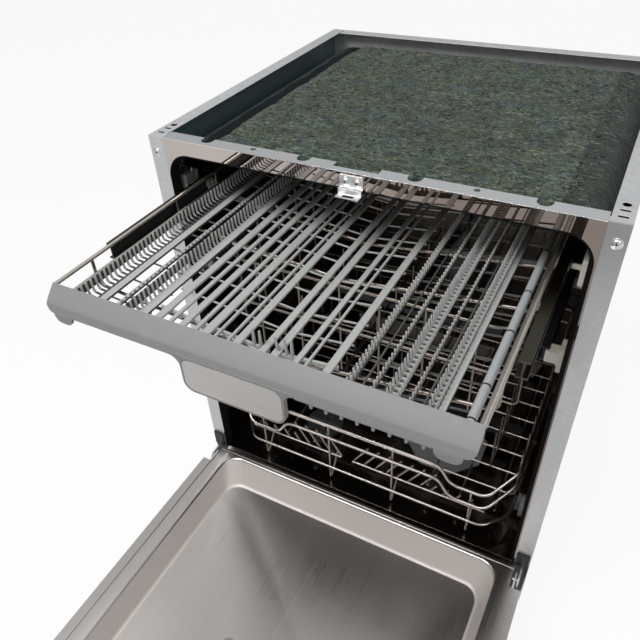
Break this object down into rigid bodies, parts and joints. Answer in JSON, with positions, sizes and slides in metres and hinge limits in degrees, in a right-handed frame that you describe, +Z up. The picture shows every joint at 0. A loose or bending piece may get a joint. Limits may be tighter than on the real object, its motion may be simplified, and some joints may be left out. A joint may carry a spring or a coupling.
{
  "type": "integrated dishwasher",
  "caption": "Built-in dishwasher with a drop-down door, a pull-out cutlery tray with comb inserts, sliding wire baskets, spinning spray arms and a steel tub.",
  "frame": {"origin": "middle of the footprint on the floor, with the door open", "axes": "+X to the user's right as seen from the front, +Y from the door to the back, +Z up"},
  "size_m": [0.598, 1.1964, 0.815],
  "materials": {
    "tub_steel": "satin stainless steel",
    "frame_steel": "polished stainless steel",
    "galvanised": "galvanised sheet",
    "coated_steel": "grey coated sheet",
    "basket_steel": "stainless wire",
    "grey_plastic": "mid grey moulding",
    "light_plastic": "pale grey moulding",
    "black_plastic": "black moulding",
    "panel_plastic": "dark glossy moulding",
    "key_plastic": "silver grey key",
    "seal_rubber": "soft black rubber",
    "bitumen": "heavy sound mat",
    "felt": "dark fibrous felt",
    "plate_metal": "bare brushed plate",
    "iron": "cast weight",
    "zinc": "bright zinc"
  },
  "bodies": {
    "cabinet": {"tub_shell": "tub_steel", "tub_back": "tub_steel", "tub_floor": "tub_steel", "front_frame": "frame_steel", "left_side_panel": "galvanised", "right_side_panel": "galvanised", "rear_panel": "galvanised", "bitumen_sheet": "bitumen", "felt_mat": "felt", "door_gasket": "seal_rubber", "door_strike": "zinc", "frame_screws": "zinc", "base_tray": "black_plastic", "levelling_feet": "black_plastic", "counterweight": "iron", "sump": "black_plastic", "tub_filter": "grey_plastic", "circulation_pump": "black_plastic", "drain_pump": "black_plastic", "softener": "light_plastic", "salt_cap": "light_plastic", "inlet_valve": "light_plastic", "drain_outlet": "black_plastic", "mains_gland": "black_plastic", "lower_arm_post": "grey_plastic", "feed_duct": "grey_plastic", "hinge_brackets": "zinc", "hinge_covers": "black_plastic", "rail_brackets": "light_plastic"},
    "door": {"door_liner": "tub_steel", "door_outer_panel": "coated_steel", "control_panel": "panel_plastic", "dispenser_body": "grey_plastic", "hinge_arms": "zinc"},
    "dispenser_lid": {"dispenser_lid": "light_plastic"},
    "rinse_cap": {"rinse_cap": "light_plastic"},
    "door_latch": {"door_latch": "zinc"},
    "power_button": {"power_button": "key_plastic"},
    "program_button": {"program_button": "key_plastic"},
    "start_button": {"start_button": "key_plastic"},
    "tray": {"tray_front_bar": "grey_plastic", "badge_plate": "plate_metal", "tray_frame": "basket_steel", "left_comb_insert": "grey_plastic", "left_centre_insert": "grey_plastic", "right_centre_insert": "grey_plastic", "right_comb_insert": "grey_plastic", "tray_side_fittings": "light_plastic"},
    "tray_rails": {"tray_rails": "galvanised"},
    "tray_wall_rollers": {"tray_wall_rollers": "light_plastic"},
    "upper_basket": {"upper_basket": "basket_steel", "upper_basket_fittings": "grey_plastic"},
    "upper_rails": {"upper_rails": "black_plastic"},
    "upper_spray_arm": {"upper_spray_arm": "grey_plastic"},
    "lower_basket": {"lower_basket": "basket_steel"},
    "front_wheels": {"front_wheels": "grey_plastic"},
    "rear_wheels": {"rear_wheels": "grey_plastic"},
    "lower_spray_arm": {"lower_spray_arm": "grey_plastic"},
    "ceiling_spray_arm": {"ceiling_spray_arm": "grey_plastic"}
  },
  "joints": [
    {"name": "door_hinge", "type": "hinge", "parent": "cabinet", "child": "door", "pos_m": [0, 0.02825, 0.185], "axis": [1, 0, 0], "range_deg": [-90, 0]},
    {"name": "dispenser_lid_hinge", "type": "hinge", "parent": "door", "child": "dispenser_lid", "pos_m": [-0.03, -0.24875, 0.1633], "axis": [-1, 0, 0], "range_deg": [0, 165]},
    {"name": "rinse_cap_turn", "type": "hinge", "parent": "door", "child": "rinse_cap", "pos_m": [0.052, -0.29475, 0.16], "axis": [0, 0, 1], "range_deg": [0, 90]},
    {"name": "latch_slide", "type": "slide", "parent": "door", "child": "door_latch", "axis": [0, -1, 0], "range_m": [0, 0.008]},
    {"name": "power_button_press", "type": "slide", "parent": "door", "child": "power_button", "axis": [0, 1, 0], "range_m": [0, 0.0015], "stiffness_N_per_m": 400},
    {"name": "program_button_press", "type": "slide", "parent": "door", "child": "program_button", "axis": [0, 1, 0], "range_m": [0, 0.0015], "stiffness_N_per_m": 400},
    {"name": "start_button_press", "type": "slide", "parent": "door", "child": "start_button", "axis": [0, 1, 0], "range_m": [0, 0.0015], "stiffness_N_per_m": 400},
    {"name": "tray_slide", "type": "slide", "parent": "cabinet", "child": "tray", "axis": [0, 1, 0], "range_m": [0, 0.286]},
    {"name": "tray_rail_slide", "type": "slide", "parent": "cabinet", "child": "tray_rails", "axis": [0, 1, 0], "range_m": [0, 0.166]},
    {"name": "tray_roller_spin", "type": "hinge", "parent": "cabinet", "child": "tray_wall_rollers", "pos_m": [0, 0.07825, 0.7385], "axis": [1, 0, 0], "continuous": true},
    {"name": "upper_basket_slide", "type": "slide", "parent": "cabinet", "child": "upper_basket", "axis": [0, -1, 0], "range_m": [0, 0.45]},
    {"name": "upper_rail_slide", "type": "slide", "parent": "cabinet", "child": "upper_rails", "axis": [0, -1, 0], "range_m": [0, 0.236]},
    {"name": "upper_arm_spin", "type": "hinge", "parent": "upper_basket", "child": "upper_spray_arm", "pos_m": [0, 0.30625, 0.44], "axis": [0, 0, 1], "continuous": true},
    {"name": "lower_basket_slide", "type": "slide", "parent": "cabinet", "child": "lower_basket", "axis": [0, -1, 0], "range_m": [0, 0.45]},
    {"name": "front_wheel_spin", "type": "hinge", "parent": "lower_basket", "child": "front_wheels", "pos_m": [0, 0.14325, 0.2193], "axis": [1, 0, 0], "continuous": true},
    {"name": "rear_wheel_spin", "type": "hinge", "parent": "lower_basket", "child": "rear_wheels", "pos_m": [0, 0.44325, 0.2193], "axis": [1, 0, 0], "continuous": true},
    {"name": "lower_arm_spin", "type": "hinge", "parent": "cabinet", "child": "lower_spray_arm", "pos_m": [0, 0.30625, 0.206], "axis": [0, 0, 1], "continuous": true},
    {"name": "ceiling_arm_spin", "type": "hinge", "parent": "cabinet", "child": "ceiling_spray_arm", "pos_m": [0, 0.34825, 0.772], "axis": [0, 0, 1], "continuous": true}
  ],
  "couplings": [
    {"joint": "tray_slide", "follows": "door_hinge", "m_per_rad": -0.18144},
    {"joint": "tray_rail_slide", "follows": "door_hinge", "m_per_rad": -0.10504},
    {"joint": "tray_roller_spin", "follows": "door_hinge", "ratio": 12.81},
    {"joint": "upper_rail_slide", "follows": "upper_basket_slide", "ratio": 0.52222},
    {"joint": "front_wheel_spin", "follows": "lower_basket_slide", "rad_per_m": 52.632},
    {"joint": "rear_wheel_spin", "follows": "lower_basket_slide", "rad_per_m": 52.632}
  ]
}
